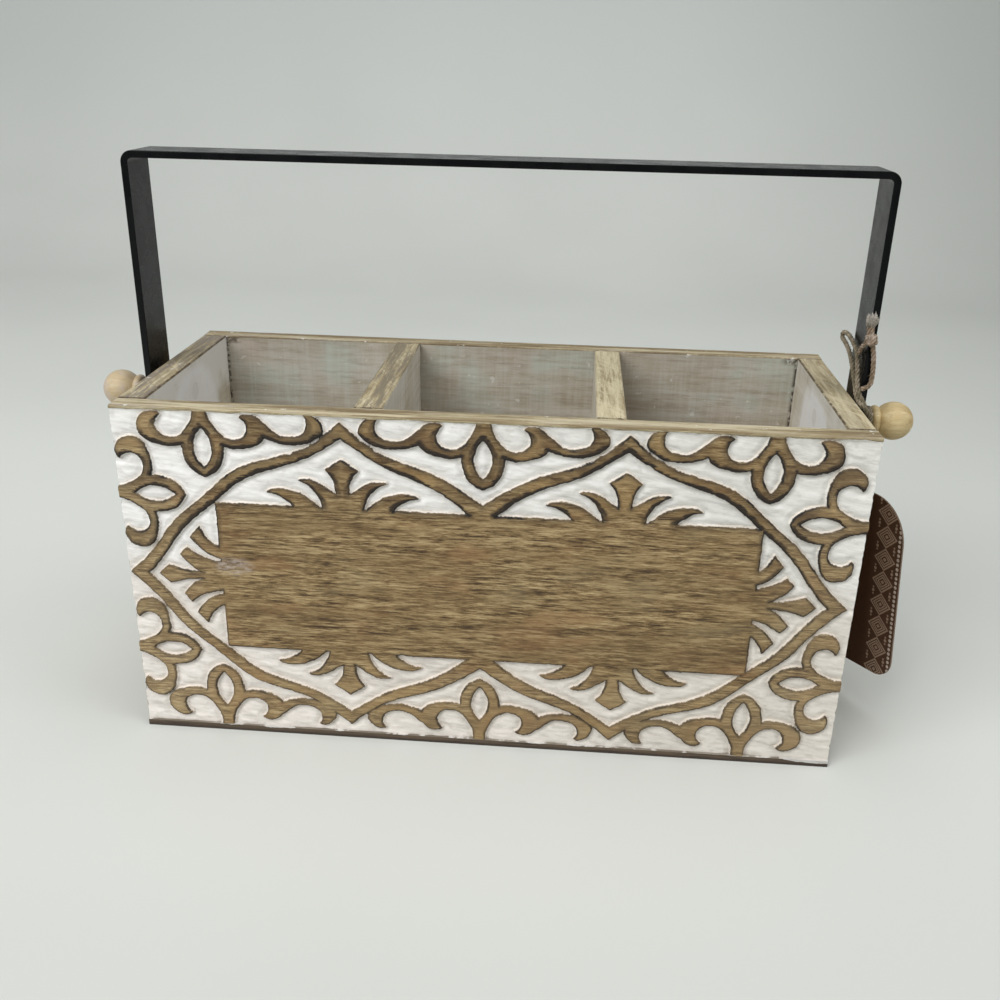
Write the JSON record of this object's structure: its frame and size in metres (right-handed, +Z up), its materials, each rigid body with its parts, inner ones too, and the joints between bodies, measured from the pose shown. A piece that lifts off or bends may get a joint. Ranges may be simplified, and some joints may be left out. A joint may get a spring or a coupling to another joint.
{
  "type": "silverware caddy",
  "caption": "Rectangular wooden caddy with open compartments side by side, scroll-carved whitewashed long sides, a swinging strap handle on turned knobs and a hanging card tag.",
  "frame": {"origin": "middle of the underside of the base board", "axes": "+X along the box towards the knob that carries the tag, +Y to the back, +Z up"},
  "size_m": [0.3701, 0.1246, 0.2455],
  "materials": {
    "carved_board": "carved, stained brown, white ground",
    "plain_board": "thin whitewash over stained wood",
    "base_board": "dark stain",
    "black_strap": "satin black",
    "turned_wood": "bare, sanded",
    "nail_steel": "bright",
    "tag_card": "matt print",
    "jute_twine": "twisted, dull"
  },
  "bodies": {
    "caddy": {"front_panel": "carved_board", "back_panel": "carved_board", "left_end_panel": "plain_board", "right_end_panel": "plain_board", "left_divider": "plain_board", "right_divider": "plain_board", "base_board": "base_board", "left_knob": "turned_wood", "right_knob": "turned_wood", "front_corner_pins": "nail_steel", "back_corner_pins": "nail_steel", "front_divider_pins": "nail_steel", "back_divider_pins": "nail_steel", "base_wall_nails": "nail_steel", "base_cross_nails": "nail_steel"},
    "handle": {"bail_handle": "black_strap", "twine_bight": "jute_twine", "twine_knot": "jute_twine"},
    "tag": {"hang_tag": "tag_card", "tag_twine": "jute_twine"}
  },
  "joints": [
    {"name": "handle_swing", "type": "hinge", "parent": "caddy", "child": "handle", "pos_m": [0, 0.004, 0.139], "axis": [1, 0, 0], "range_deg": [-139, 133.5]},
    {"name": "tag_swing", "type": "hinge", "parent": "caddy", "child": "tag", "pos_m": [0.1642, 0.004, 0.139], "axis": [1, 0, 0], "range_deg": [-35, 35]}
  ]
}
